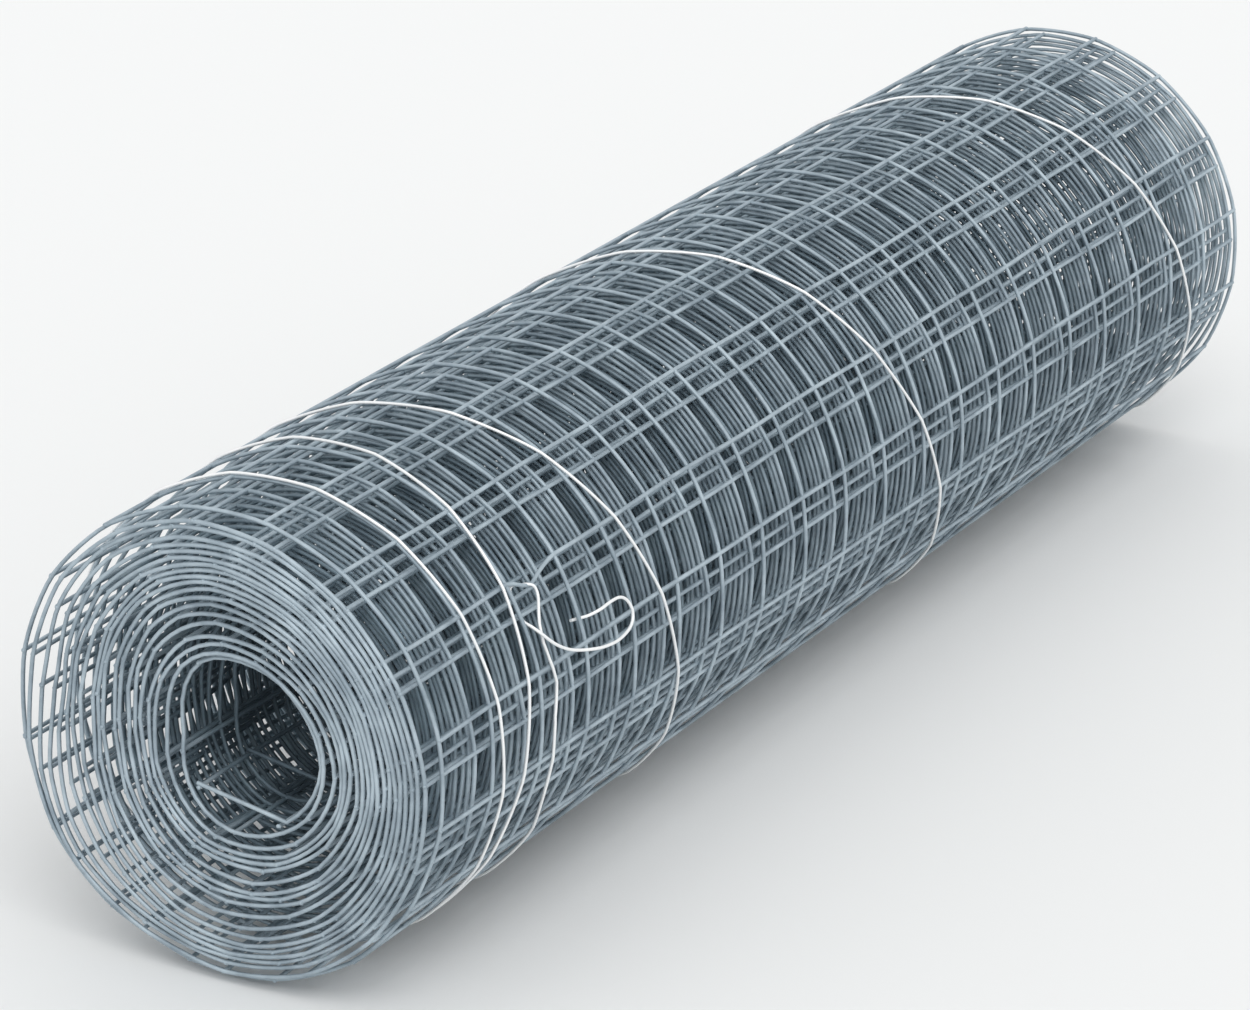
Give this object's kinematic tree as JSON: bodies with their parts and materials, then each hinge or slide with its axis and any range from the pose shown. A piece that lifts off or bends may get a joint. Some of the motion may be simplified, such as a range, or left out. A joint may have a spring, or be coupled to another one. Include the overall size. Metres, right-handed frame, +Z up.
{
  "type": "roll of welded wire mesh fencing",
  "caption": "Roll of galvanised welded wire mesh fencing lying on its side, tied near one end and bound along its length with bright steel wire.",
  "frame": {"origin": "on the floor under the middle of the lying roll", "axes": "+X along the roll's axis, from the tied near end to the far end; +Z up; the side seen in the picture faces -Y"},
  "size_m": [0.5062, 0.1347, 0.1338],
  "materials": {
    "galvanised_mesh": "dull hot-dip zinc, blue-grey",
    "tie_wire": "bright drawn zinc"
  },
  "bodies": {
    "root": {"mesh_roll": "galvanised_mesh", "front_tie_1": "tie_wire", "front_tie_2": "tie_wire", "binding_wire": "tie_wire"}
  },
  "joints": []
}
